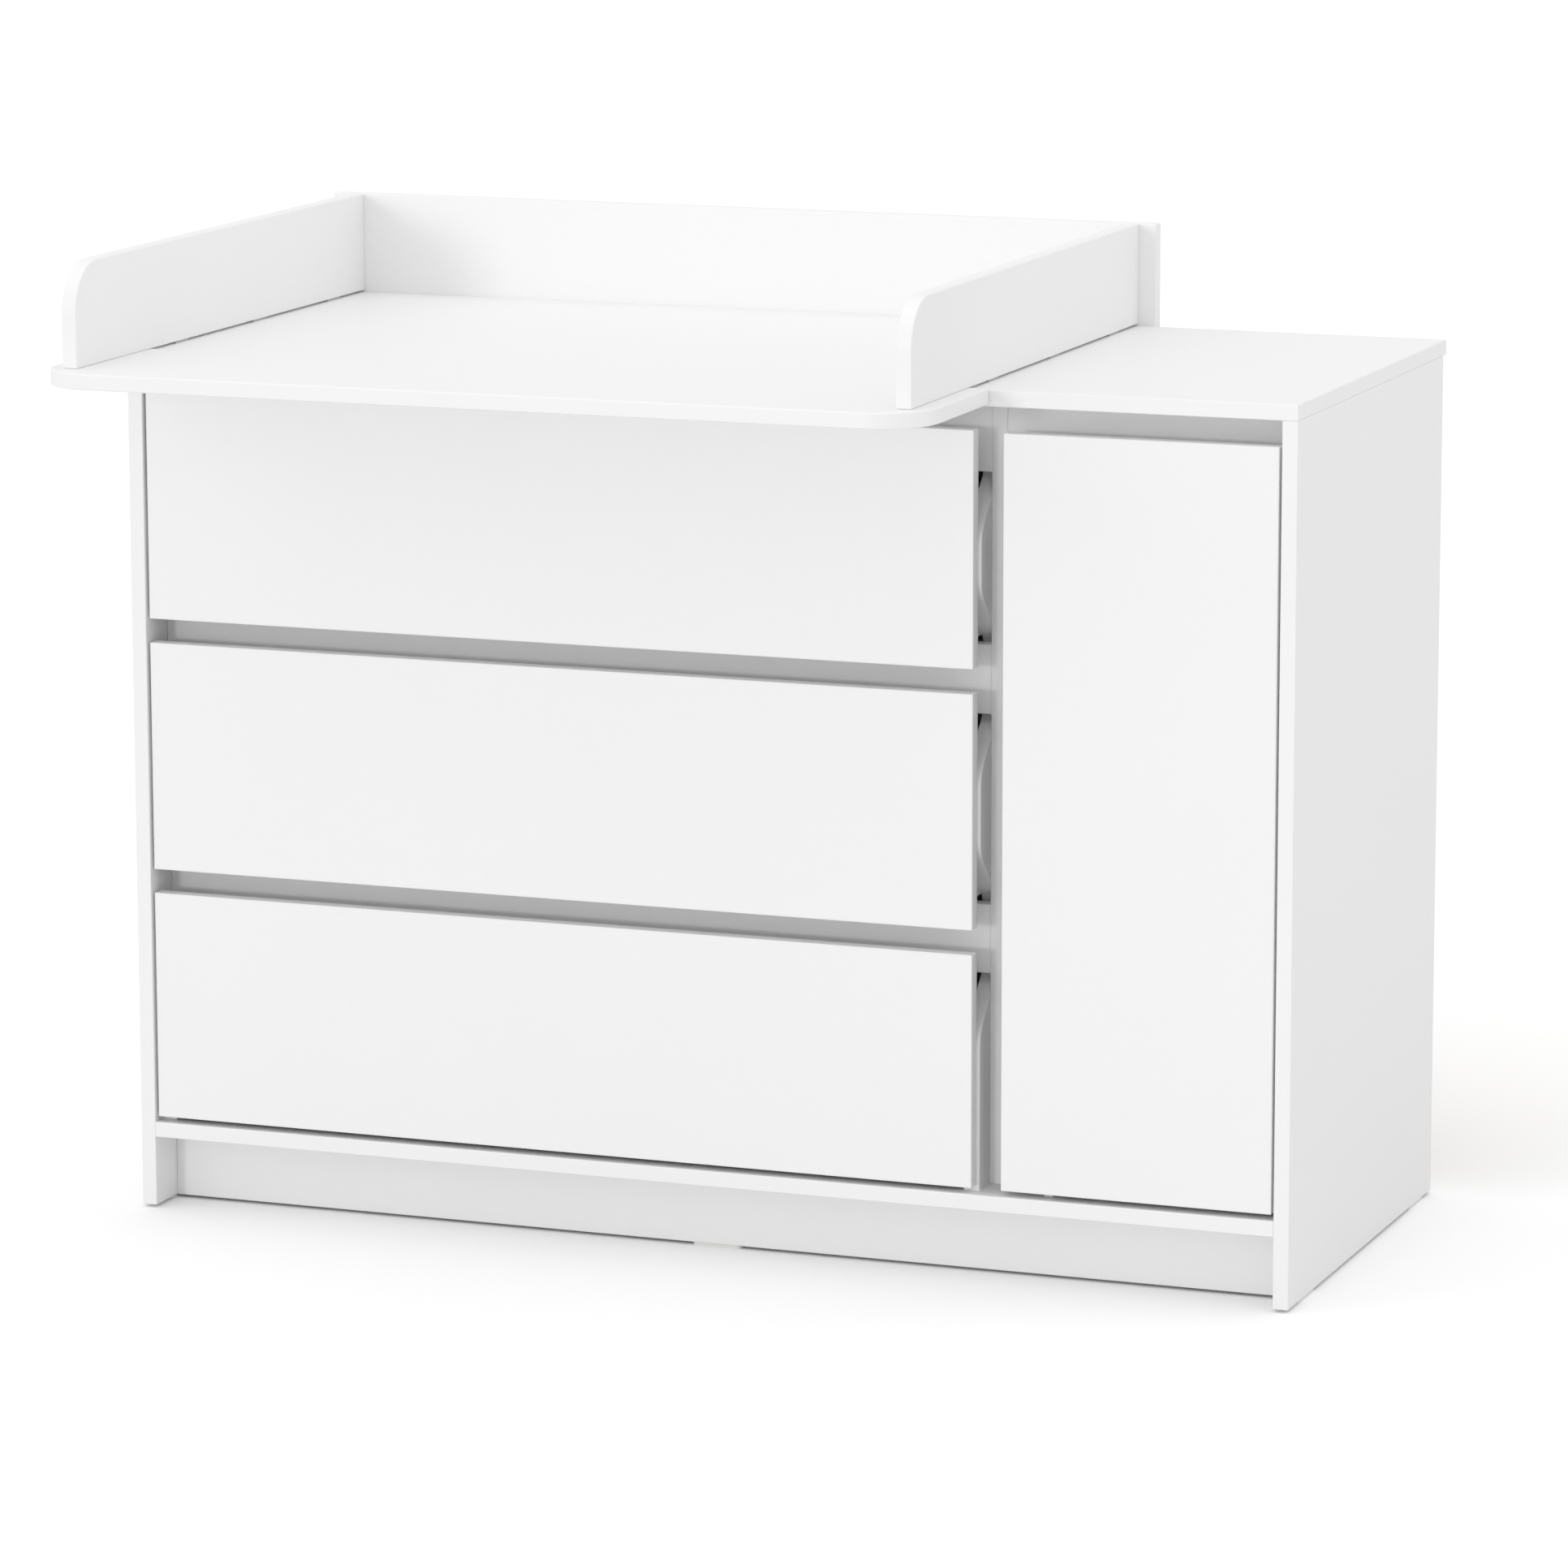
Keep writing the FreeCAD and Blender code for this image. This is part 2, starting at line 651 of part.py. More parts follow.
def drawer(level):
    """One drawer with its runners."""
    low = front_low(level)
    box_low = f"({low} + box_lift)"
    box_high = f"({box_low} + box_height)"
    sheet_low = f"({box_low} + groove_lift)"
    front_corner = ("board + front_gap", "front_setback", low)
    far_corner = (f"{partition} - front_gap", front_back, f"{low} + front_height")
    front = board(f"{level}_drawer_front", front_corner, far_corner)
    groove(front, (f"{box_left} + box_board - groove_depth - ({front_corner[0]})", "board - groove_depth",
                   "box_lift + groove_lift"),
           (f"{box_right} - {box_left} - 2 * box_board + 2 * groove_depth", "groove_depth + 1", "hdf"))
    keep(front)
    for side, left, cut_at in (("left", box_left, "box_board - groove_depth"),
                               ("right", f"({box_right} - box_board)", "-1")):
        far_corner = (f"{left} + box_board", box_rear, box_high)
        wall = board(f"{level}_drawer_side_{side}", (left, front_back, box_low), far_corner)
        groove(wall, (cut_at, "-1", "groove_lift"), ("groove_depth + 1", "box_depth + 2", "hdf"))
        keep(wall)
    back_corner = (f"{box_left} + box_board", f"{box_rear} - box_board", f"{sheet_low} + hdf")
    keep(board(f"{level}_drawer_back", back_corner, (f"{box_right} - box_board", box_rear, box_high)))
    keep(block(f"{level}_drawer_bottom",
               (f"{box_left} + box_board - groove_depth", f"{front_back} - groove_depth", sheet_low),
               (f"{box_right} - box_board + groove_depth", box_rear, f"{sheet_low} + hdf")))
    runners(level)


for level in levels:
    drawer(level)

doc.recompute()
for item in doc.Objects:
    if {"Invalid", "Error"} & set(item.State):
        raise RuntimeError(f"{item.Label}: {item.State}")
for piece in nodes:
    if piece.Shape.isNull() or not piece.Shape.isValid():
        raise RuntimeError(f"{piece.Label} has no valid shape")

os.makedirs("parts", exist_ok=True)
for piece in nodes:
    piece.Shape.exportStep(f"parts/{piece.Label}.step")
    print(f"{piece.Label}: {len(piece.Shape.Solids)} solid(s), {piece.Shape.Volume / 1000:.1f} cm3")
print(f"{len(nodes)} sub-parts")
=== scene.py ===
import json
import math

import bpy
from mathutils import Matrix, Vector


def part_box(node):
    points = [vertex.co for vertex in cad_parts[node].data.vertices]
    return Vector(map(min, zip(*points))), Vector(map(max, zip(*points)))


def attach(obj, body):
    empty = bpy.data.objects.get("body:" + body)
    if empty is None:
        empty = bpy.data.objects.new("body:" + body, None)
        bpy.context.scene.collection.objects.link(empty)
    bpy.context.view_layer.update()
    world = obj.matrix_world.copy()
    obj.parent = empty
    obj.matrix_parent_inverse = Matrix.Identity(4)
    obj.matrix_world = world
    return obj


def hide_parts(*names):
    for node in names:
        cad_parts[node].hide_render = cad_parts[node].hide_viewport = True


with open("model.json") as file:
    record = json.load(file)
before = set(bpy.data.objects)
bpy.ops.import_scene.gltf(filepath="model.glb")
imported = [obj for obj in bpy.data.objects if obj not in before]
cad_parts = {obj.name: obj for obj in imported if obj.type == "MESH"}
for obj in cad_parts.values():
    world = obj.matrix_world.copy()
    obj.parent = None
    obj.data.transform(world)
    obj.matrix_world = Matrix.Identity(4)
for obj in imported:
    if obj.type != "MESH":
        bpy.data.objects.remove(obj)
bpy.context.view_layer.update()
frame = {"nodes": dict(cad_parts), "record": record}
slotOf = {part["node"]: part["material_slot"] for part in frame["record"]["subparts"]}
print("frame loaded:", len(frame["nodes"]), "nodes")

cameraView = {
    "place": (2.55109, -6.68057, 1.82080),
    "lookDown": 0.188262,  # radians
    "turn": 0.360231,  # radians towards the left
    "roll": 0.001836,
    "lens": 163.35,  # mm
    "sensor": 36,  # mm wide
    "farthest": 200,
}


def makeCamera():
    lens = bpy.data.cameras.new("camera")
    lens.lens = cameraView["lens"]
    lens.sensor_width = cameraView["sensor"]
    lens.clip_end = cameraView["farthest"]
    camera = bpy.data.objects.new("camera", lens)
    camera.location = cameraView["place"]
    camera.rotation_euler = (math.pi / 2 - cameraView["lookDown"], cameraView["roll"], cameraView["turn"])
    bpy.context.collection.objects.link(camera)
    bpy.context.scene.camera = camera


studio = {
    "surround": 0.81,  # light from all round
    "lampDistance": 3,
    "floorSize": 120,
    "floorBounce": 0.8,  # the floor's tone as it lights the furniture
    "floorTone": 1.07,  # the floor's tone as it is seen
    "softLights": {  # where the light comes from, how strong, how wide in degrees
        "frontLight": ((-0.19, -1.0, 0.08), 0.40, 7),
        "leftLight": ((-0.9, -0.5, 0.7), 0.22, 45),
        "topLight": ((0.0, 0.0, 1.0), 0.41, 60),
        "sideLight": ((1.0, 0.3, 0.6), 0.13, 60),
    },
}


def makeLights():
    world = bpy.data.worlds.new("studio")
    world.use_nodes = True
    tree = world.node_tree
    surround = tree.nodes["Background"]
    surround.inputs["Color"].default_value = (1, 1, 1, 1)
    surround.inputs["Strength"].default_value = studio["surround"]
    backdrop = tree.nodes.new("ShaderNodeBackground")
    backdrop.inputs["Color"].default_value = (1, 1, 1, 1)
    seen = tree.nodes.new("ShaderNodeLightPath")
    blend = tree.nodes.new("ShaderNodeMixShader")
    tree.links.new(seen.outputs["Is Camera Ray"], blend.inputs[0])
    tree.links.new(surround.outputs[0], blend.inputs[1])
    tree.links.new(backdrop.outputs[0], blend.inputs[2])
    tree.links.new(blend.outputs[0], tree.nodes["World Output"].inputs["Surface"])
    bpy.context.scene.world = world
    bpy.context.scene.view_settings.view_transform = "Standard"
    for name, (direction, strength, width) in studio["softLights"].items():
        lamp = bpy.data.lights.new(name, "SUN")
        lamp.energy = strength
        lamp.angle = math.radians(width)
        softLight = bpy.data.objects.new(name, lamp)
        softLight.location = Vector(direction) * studio["lampDistance"]
        softLight.rotation_euler = Vector(direction).to_track_quat("Z", "Y").to_euler()
        bpy.context.collection.objects.link(softLight)


def makeFloor():
    bpy.ops.object.select_all(action="DESELECT")
    bpy.ops.mesh.primitive_plane_add(size=studio["floorSize"])
    ground = bpy.context.active_object
    ground.name = "floor"
    paint = bpy.data.materials.new("floorPaint")
    paint.use_nodes = True
    tree = paint.node_tree
    tree.nodes.remove(tree.nodes["Principled BSDF"])
    seen = tree.nodes.new("ShaderNodeLightPath")
    blend = tree.nodes.new("ShaderNodeMixShader")
    tree.links.new(seen.outputs["Is Camera Ray"], blend.inputs[0])
    for index, name in ((1, "floorBounce"), (2, "floorTone")):
        matt = tree.nodes.new("ShaderNodeBsdfDiffuse")
        matt.inputs["Color"].default_value = (studio[name],) * 3 + (1,)
        tree.links.new(matt.outputs[0], blend.inputs[index])
    tree.links.new(blend.outputs[0], tree.nodes["Material Output"].inputs["Surface"])
    ground.data.materials.append(paint)


makeCamera()
makeLights()
makeFloor()
print("camera, lights and floor made")


# Small helpers for building node trees: a number is set on the socket, a socket is linked to it.
def feed(tree, socket, value):
    if isinstance(value, bpy.types.NodeSocket):
        tree.links.new(value, socket)
    else:
        socket.default_value = value


def addNode(tree, kind, inputs=(), **settings):
    node = tree.nodes.new(kind)
    for name, value in settings.items():
        setattr(node, name, value)
    for key, value in dict(inputs).items():
        feed(tree, node.inputs[key], value)
    return node


def calc(tree, operation, *values):
    return addNode(tree, "ShaderNodeMath", enumerate(values), operation=operation).outputs[0]


def vectorCalc(tree, operation, first, second):
    return addNode(tree, "ShaderNodeVectorMath", {0: first, 1: second}, operation=operation).outputs


def noise(tree, vector, scale, detail=2.0, roughness=0.5):
    inputs = {"Vector": vector, "Scale": scale, "Detail": detail, "Roughness": roughness}
    return addNode(tree, "ShaderNodeTexNoise", inputs).outputs["Fac"]


def ramp(tree, value, low, high, first=0.0, last=1.0):
    inputs = {"Value": value, "From Min": low, "From Max": high, "To Min": first, "To Max": last}
    return addNode(tree, "ShaderNodeMapRange", inputs, interpolation_type="SMOOTHSTEP").outputs[0]


def mixColour(tree, factor, first, second, blend="MIX"):
    mixer = addNode(tree, "ShaderNodeMix", data_type="RGBA", blend_type=blend)
    for index, value in ((0, factor), (6, first), (7, second)):
        feed(tree, mixer.inputs[index], value)
    return mixer.outputs[2]


def startGroup(name, inputs, outputs):
    tree = bpy.data.node_groups.new(name, "ShaderNodeTree")
    for label, (kind, value) in inputs.items():
        socket = tree.interface.new_socket(label, in_out="INPUT", socket_type="NodeSocket" + kind)
        if value is not None:
            socket.default_value = value
    for label, kind in outputs.items():
        tree.interface.new_socket(label, in_out="OUTPUT", socket_type="NodeSocket" + kind)
    return tree, tree.nodes.new("NodeGroupInput").outputs, tree.nodes.new("NodeGroupOutput").inputs


finePattern = {
    "broad": 6.0,  # patches per metre
    "fleck": 420.0,
    "gloss": 35.0,
    "broadShare": 0.6,  # the rest is fleck
}


# Fine pearls of a pressed or sprayed finish, a slow drift of tone and a slow drift of gloss.
def makeFineFinish():
    tree, given, out = startGroup(
        "fineFinish",
        {"Vector": ("Vector", None), "Colour": ("Color", (0.8, 0.8, 0.8, 1)), "Drift": ("Float", 0.02),
         "Grain per metre": ("Float", 900.0), "Roughness": ("Float", 0.4), "Gloss drift": ("Float", 0.06)},
        {"Colour": "Color", "Roughness": "Float", "Height": "Float"},
    )
    place = given["Vector"]
    broad = noise(tree, place, finePattern["broad"], 3.0, 0.6)
    fleck = noise(tree, place, finePattern["fleck"], 2.0, 0.6)
    share = finePattern["broadShare"]
    tone = calc(tree, "ADD", calc(tree, "MULTIPLY", broad, share), calc(tree, "MULTIPLY", fleck, 1 - share))
    shade = calc(tree, "MULTIPLY_ADD", calc(tree, "SUBTRACT", tone, 0.5), given["Drift"], 1.0)
    shaded = addNode(tree, "ShaderNodeVectorMath", {0: given["Colour"]}, operation="SCALE")
    feed(tree, shaded.inputs["Scale"], shade)
    feed(tree, out["Colour"], shaded.outputs[0])
    swing = calc(tree, "SUBTRACT", noise(tree, place, finePattern["gloss"], 3.0, 0.6), 0.5)
    feed(tree, out["Roughness"], calc(tree, "MULTIPLY_ADD", swing, given["Gloss drift"], given["Roughness"]))
    feed(tree, out["Height"], noise(tree, place, given["Grain per metre"], 2.0, 0.55))
    return tree


edgePattern = {"arris": 0.002, "faceDepth": 0.0004}  # how far each reaches, in metres


# A board's arrises and the thin glue line between its faces and its edge band, from the board's two corners.
def makeBoardEdges():
    tree, given, out = startGroup(
        "boardEdges",
        {"Vector": ("Vector", None), "Low": ("Vector", (0, 0, 0)), "High": ("Vector", (1, 1, 1)),
         "Thickness axis": ("Vector", (1, 0, 0)), "Band": ("Float", 0.0012), "Line": ("Float", 0.0003)},
        {"Arris": "Float", "Glue line": "Float"},
    )
    fromLow = vectorCalc(tree, "SUBTRACT", given["Vector"], given["Low"])[0]
    fromHigh = vectorCalc(tree, "SUBTRACT", given["High"], given["Vector"])[0]
    inward = vectorCalc(tree, "MINIMUM", fromLow, fromHigh)[0]
    x, y, z = addNode(tree, "ShaderNodeSeparateXYZ", {0: inward}).outputs
    smallest = calc(tree, "MINIMUM", calc(tree, "MINIMUM", x, y), z)
    largest = calc(tree, "MAXIMUM", calc(tree, "MAXIMUM", x, y), z)
    total = calc(tree, "ADD", calc(tree, "ADD", x, y), z)
    middle = calc(tree, "SUBTRACT", calc(tree, "SUBTRACT", total, smallest), largest)
    feed(tree, out["Arris"], ramp(tree, middle, 0.0, edgePattern["arris"], 1.0, 0.0))
    deep = vectorCalc(tree, "DOT_PRODUCT", inward, given["Thickness axis"])[1]
    faceOnly = calc(tree, "LESS_THAN", deep, edgePattern["faceDepth"])
    x, y, z = addNode(tree, "ShaderNodeSeparateXYZ",
                      {0: vectorCalc(tree, "ADD", inward, given["Thickness axis"])[0]}).outputs
    toEdge = calc(tree, "MINIMUM", calc(tree, "MINIMUM", x, y), z)
    onLine = calc(tree, "COMPARE", toEdge, given["Band"], given["Line"])
    feed(tree, out["Glue line"], calc(tree, "MULTIPLY", onLine, faceOnly))
    return tree


steelPattern = {
    "streaks": 900.0,  # patches per metre
    "cloud": 60.0,
    "glossSwing": 0.3,
}


# Rolled or plated steel: short streaks along one axis over a faint cloud.
def makeRolledSteel():
    tree, given, out = startGroup(
        "rolledSteel",
        {"Vector": ("Vector", None), "Colour": ("Color", (0.7, 0.7, 0.7, 1)), "Streak": ("Vector", (1, 1, 1)),
         "Drift": ("Float", 0.15), "Roughness": ("Float", 0.3)},
        {"Colour": "Color", "Roughness": "Float", "Height": "Float"},
    )
    stretched = vectorCalc(tree, "MULTIPLY", given["Vector"], given["Streak"])[0]
    streaks = noise(tree, stretched, steelPattern["streaks"], 3.0, 0.6)
    cloud = noise(tree, given["Vector"], steelPattern["cloud"], 3.0, 0.6)
    tone = calc(tree, "ADD", calc(tree, "MULTIPLY", streaks, 0.5), calc(tree, "MULTIPLY", cloud, 0.5))
    shade = calc(tree, "MULTIPLY_ADD", calc(tree, "SUBTRACT", tone, 0.5), given["Drift"], 1.0)
    shaded = addNode(tree, "ShaderNodeVectorMath", {0: given["Colour"]}, operation="SCALE")
    feed(tree, shaded.inputs["Scale"], shade)
    feed(tree, out["Colour"], shaded.outputs[0])
    swing = calc(tree, "SUBTRACT", tone, 0.5)
    roughness = calc(tree, "MULTIPLY_ADD", swing, steelPattern["glossSwing"], given["Roughness"])
    feed(tree, out["Roughness"], roughness)
    feed(tree, out["Height"], streaks)
    return tree


effects = {"fineFinish": makeFineFinish(), "boardEdges": makeBoardEdges(), "rolledSteel": makeRolledSteel()}


def newMaterial(name):
    material = bpy.data.materials.new(name)
    material.use_nodes = True
    tree = material.node_tree
    place = tree.nodes.new("ShaderNodeTexCoord").outputs["Object"]
    return material, tree, place, tree.nodes["Principled BSDF"].inputs


def addEffect(tree, name, **inputs):
    node = addNode(tree, "ShaderNodeGroup", node_tree=effects[name])
    for label, value in inputs.items():
        feed(tree, node.inputs[label.replace("_", " ")], value)
    return node.outputs


def addBump(tree, shader, height, depth):
    bump = addNode(tree, "ShaderNodeBump", {"Height": height, "Distance": depth, "Strength": 1.0})
    feed(tree, shader["Normal"], bump.outputs[0])


print("shader effects made:", ", ".join(effects))


whiteLaminate = {
    "colour": (0.93, 0.93, 0.93, 1),
    "drift": 0.025,
    "roughness": 0.42,
    "glossDrift": 0.08,
    "grainPerMetre": 900.0,
    "grainDepth": 0.00004,
    "band": 0.0013,  # edge band, with its eased arris
    "glueLine": 0.05,  # how much darker the line is
    "lineColour": (0.25, 0.24, 0.22, 1),
    "edgeRub": 0.03,
    "rubColour": (0.6, 0.6, 0.58, 1),
    "rubPatches": 90.0,  # per metre
    "rubRange": (0.35, 0.7),
    "rubGloss": 0.1,
}


def laminateFor(node, edged=True):
    material, tree, place, shader = newMaterial(f"whiteLaminate.{node}")
    finish = addEffect(tree, "fineFinish", Vector=place, Colour=whiteLaminate["colour"],
                       Drift=whiteLaminate["drift"], Grain_per_metre=whiteLaminate["grainPerMetre"],
                       Roughness=whiteLaminate["roughness"], Gloss_drift=whiteLaminate["glossDrift"])
    colour, roughness = finish["Colour"], finish["Roughness"]
    if edged:
        low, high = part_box(node)
        size = high - low
        thin = [float(side == min(size)) for side in size]
        edges = addEffect(tree, "boardEdges", Vector=place, Low=tuple(low), High=tuple(high),
                          Thickness_axis=tuple(thin), Band=whiteLaminate["band"])
        worn = ramp(tree, noise(tree, place, whiteLaminate["rubPatches"], 3.0), *whiteLaminate["rubRange"])
        rubbed = calc(tree, "MULTIPLY", edges["Arris"], worn)
        dark = calc(tree, "MULTIPLY", edges["Glue line"], whiteLaminate["glueLine"])
        colour = mixColour(tree, dark, colour, whiteLaminate["lineColour"])
        pale = calc(tree, "MULTIPLY", rubbed, whiteLaminate["edgeRub"])
        colour = mixColour(tree, pale, colour, whiteLaminate["rubColour"])
        roughness = calc(tree, "MULTIPLY_ADD", rubbed, -whiteLaminate["rubGloss"], roughness)
    feed(tree, shader["Base Color"], colour)
    feed(tree, shader["Roughness"], roughness)
    addBump(tree, shader, finish["Height"], whiteLaminate["grainDepth"])
    return material


def paintNode(node, material):
    for slot in frame["nodes"][node].material_slots:
        slot.material = material


curvedBoards = ("extension_plate", "guard_rail_left", "guard_rail_right", "liner_left", "liner_right")
for node, slot in slotOf.items():
    if slot == "white_laminate":
        paintNode(node, laminateFor(node, node not in curvedBoards))
print("white boards finished")


hardboard = {
    "paint": (0.80, 0.80, 0.79, 1),
    "fibre": (0.23, 0.135, 0.07, 1),
    "fibreDark": (0.12, 0.065, 0.032, 1),
    "paintDrift": 0.04,
    "paintGrain": 700.0,  # per metre
    "paintRoughness": 0.5,
    "glossDrift": 0.1,
    "fibres": 450.0,  # per metre
    "fibreStretch": (1.0, 1.0, 0.35),
    "clouds": 14.0,  # per metre
    "fibreShare": 0.7,
    "fibreRange": (0.35, 0.65),
    "wallFacing": 0.5,  # how far a face turns to the wall to count as bare
    "bareRougher": 0.3,
    "depth": 0.00006,
}


# Painted white towards the room, bare pressed fibre towards the wall.
def makeHardboard():
    material, tree, place, shader = newMaterial("hardboard")
    finish = addEffect(tree, "fineFinish", Vector=place, Colour=hardboard["paint"],
                       Drift=hardboard["paintDrift"], Grain_per_metre=hardboard["paintGrain"],
                       Roughness=hardboard["paintRoughness"], Gloss_drift=hardboard["glossDrift"])
    stretched = vectorCalc(tree, "MULTIPLY", place, hardboard["fibreStretch"])[0]
    fibres = noise(tree, stretched, hardboard["fibres"], 5.0, 0.7)
    clouds = noise(tree, place, hardboard["clouds"], 3.0, 0.5)
    share = hardboard["fibreShare"]
    clouds = calc(tree, "MULTIPLY", clouds, 1 - share)
    blend = calc(tree, "ADD", calc(tree, "MULTIPLY", fibres, share), clouds)
    paleness = ramp(tree, blend, *hardboard["fibreRange"])
    bare = mixColour(tree, paleness, hardboard["fibreDark"], hardboard["fibre"])
    facing = addNode(tree, "ShaderNodeNewGeometry").outputs["Normal"]
    towardsWall = addNode(tree, "ShaderNodeSeparateXYZ", {0: facing}).outputs[1]
    wallSide = calc(tree, "GREATER_THAN", towardsWall, hardboard["wallFacing"])
    feed(tree, shader["Base Color"], mixColour(tree, wallSide, finish["Colour"], bare))
    roughness = calc(tree, "MULTIPLY_ADD", wallSide, hardboard["bareRougher"], finish["Roughness"])
    feed(tree, shader["Roughness"], roughness)
    height = calc(tree, "MULTIPLY_ADD", fibres, wallSide, finish["Height"])
    addBump(tree, shader, height, hardboard["depth"])
    return material


steels = {  # colour, roughness, metal or not, streak direction, drift of tone
    "runner_steel": ((0.80, 0.80, 0.78, 1), 0.38, 0.0, (0.04, 1.0, 1.0), 0.05),
    "nickel_steel": ((0.66, 0.65, 0.62, 1), 0.26, 1.0, (1.0, 0.05, 1.0), 0.25),
    "zinc_steel": ((0.62, 0.63, 0.65, 1), 0.34, 1.0, (1.0, 1.0, 1.0), 0.25),
}
steelDepth = 0.00002


def makeSteel(slot):
    colour, roughness, metal, streak, drift = steels[slot]
    material, tree, place, shader = newMaterial(slot)
    shader["Metallic"].default_value = metal
    finish = addEffect(tree, "rolledSteel", Vector=place, Colour=colour, Streak=streak,
                       Drift=drift, Roughness=roughness)
    feed(tree, shader["Base Color"], finish["Colour"])
    feed(tree, shader["Roughness"], finish["Roughness"])
    addBump(tree, shader, finish["Height"], steelDepth)
    return material


plastics = {  # colour, roughness, grains per metre, depth of the grain
    "glide_plastic": ((0.82, 0.82, 0.80, 1), 0.45, 1500.0, 0.00003),
    "catch_plastic": ((0.83, 0.83, 0.82, 1), 0.35, 1800.0, 0.00002),
    "pad_felt": ((0.55, 0.55, 0.54, 1), 0.95, 2600.0, 0.0003),
}
plasticDrift = {"tone": 0.08, "gloss": 0.1}


def makePlastic(slot):
    colour, roughness, grain, depth = plastics[slot]
    material, tree, place, shader = newMaterial(slot)
    finish = addEffect(tree, "fineFinish", Vector=place, Colour=colour, Drift=plasticDrift["tone"],
                       Grain_per_metre=grain, Roughness=roughness, Gloss_drift=plasticDrift["gloss"])
    feed(tree, shader["Base Color"], finish["Colour"])
    feed(tree, shader["Roughness"], finish["Roughness"])
    addBump(tree, shader, finish["Height"], depth)
    return material


fittings = {slot: makeSteel(slot) for slot in steels}
fittings.update({slot: makePlastic(slot) for slot in plastics})
fittings["white_hardboard"] = makeHardboard()
for node, slot in slotOf.items():
    if slot in fittings:
        paintNode(node, fittings[slot])
print("hardboard, steel, plastic and felt finished")


modelling = {
    "sameWay": 0.9,  # how closely a normal or an edge follows an axis to be picked
    "mergeWithin": 0.000001,
    "smoothAngle": 32,  # degrees
    "softenAngle": 35,
    "softenSteps": 2,
    "roundSteps": 4,
}


# Helpers for modelling: one piece is worked on at a time, in edit mode, on chosen faces or edges.
def choose(piece):
    bpy.ops.object.select_all(action="DESELECT")
    piece.select_set(True)
    bpy.context.view_layer.objects.active = piece


def applyPlace():
    bpy.ops.object.transform_apply(location=True, rotation=True, scale=True)


def workOn(piece, kind="FACE"):
    if bpy.context.mode != "OBJECT":
        bpy.ops.object.mode_set(mode="OBJECT")
    choose(piece)
    bpy.ops.object.mode_set(mode="EDIT")
    bpy.ops.mesh.select_mode(type=kind)
    bpy.ops.mesh.select_all(action="DESELECT")


def pick(piece, wanted, kind="FACE"):
    workOn(piece, kind)
    bpy.ops.object.mode_set(mode="OBJECT")
    mesh = piece.data
    for item in mesh.polygons if kind == "FACE" else mesh.edges:
        if kind == "FACE":
            item.select = wanted(item.center, item.normal)
        else:
            first, second = (mesh.vertices[index].co for index in item.vertices)
            item.select = wanted((first + second) / 2, (second - first).normalized())
    bpy.ops.object.mode_set(mode="EDIT")


def leaveEdit():
    bpy.ops.object.mode_set(mode="OBJECT")


def roundBlock(low, high, radius, along, where=lambda middle: True):
    bpy.ops.object.select_all(action="DESELECT")
    low, high = Vector(low), Vector(high)
    bpy.ops.mesh.primitive_cube_add(size=1, location=(low + high) / 2, scale=high - low)
    piece = bpy.context.active_object
    applyPlace()
    pick(piece, lambda middle, way: abs(way[along]) > modelling["sameWay"] and where(middle), "EDGE")
    bpy.ops.mesh.bevel(offset=radius, segments=modelling["roundSteps"])
    leaveEdit()
    return piece


def combine(piece, other, operation):
    modifier = piece.modifiers.new("combine", "BOOLEAN")
    modifier.operation = operation
    modifier.object = other
    modifier.solver = "EXACT"
    bpy.context.view_layer.objects.active = piece
    bpy.ops.object.modifier_apply(modifier=modifier.name)
    bpy.data.objects.remove(other)


def soften(piece, width):
    modifier = piece.modifiers.new("soften", "BEVEL")
    modifier.width = width
    modifier.segments = modelling["softenSteps"]
    modifier.angle_limit = math.radians(modelling["softenAngle"])
    bpy.context.view_layer.objects.active = piece
    bpy.ops.object.modifier_apply(modifier=modifier.name)


def finishPiece(piece, name, body, replaced, slot):
    choose(piece)
    applyPlace()
    bpy.ops.object.shade_smooth_by_angle(angle=math.radians(modelling["smoothAngle"]))
    piece.name = name
    piece.data.materials.clear()
    piece.data.materials.append(fittings[slot])
    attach(piece, body)
    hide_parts(replaced)


def placeCopies(master, name, spots, body, replaced, slot):
    for number, (spot, turn) in enumerate(spots, start=1):
        piece = master.copy()
        piece.data = master.data.copy()
        bpy.context.collection.objects.link(piece)
        piece.location = spot
        piece.rotation_euler = turn
        finishPiece(piece, f"{name}.{number}", body, replaced, slot)


# The boxes of the separate solids in one node, lowest corner and highest corner.
def solidsOf(node):
    copied = frame["nodes"][node].copy()
    copied.data = copied.data.copy()
    bpy.context.collection.objects.link(copied)
    workOn(copied)
    bpy.ops.mesh.select_all(action="SELECT")
    bpy.ops.mesh.remove_doubles(threshold=modelling["mergeWithin"])
    bpy.ops.mesh.separate(type="LOOSE")
    leaveEdit()
    boxes = []
    for solid in list(bpy.context.selected_objects):
        corners = [solid.matrix_world @ vertex.co for vertex in solid.data.vertices]
        boxes.append(tuple(Vector(end(corner[axis] for corner in corners) for axis in range(3))
                           for end in (min, max)))
        bpy.data.objects.remove(solid)
    return sorted(boxes, key=lambda box: tuple(box[0]))


# Ways to turn a piece that points up.
downwards = (math.pi, 0, 0)
backwards, leftwards = (-math.pi / 2, 0, 0), (0, -math.pi / 2, 0)

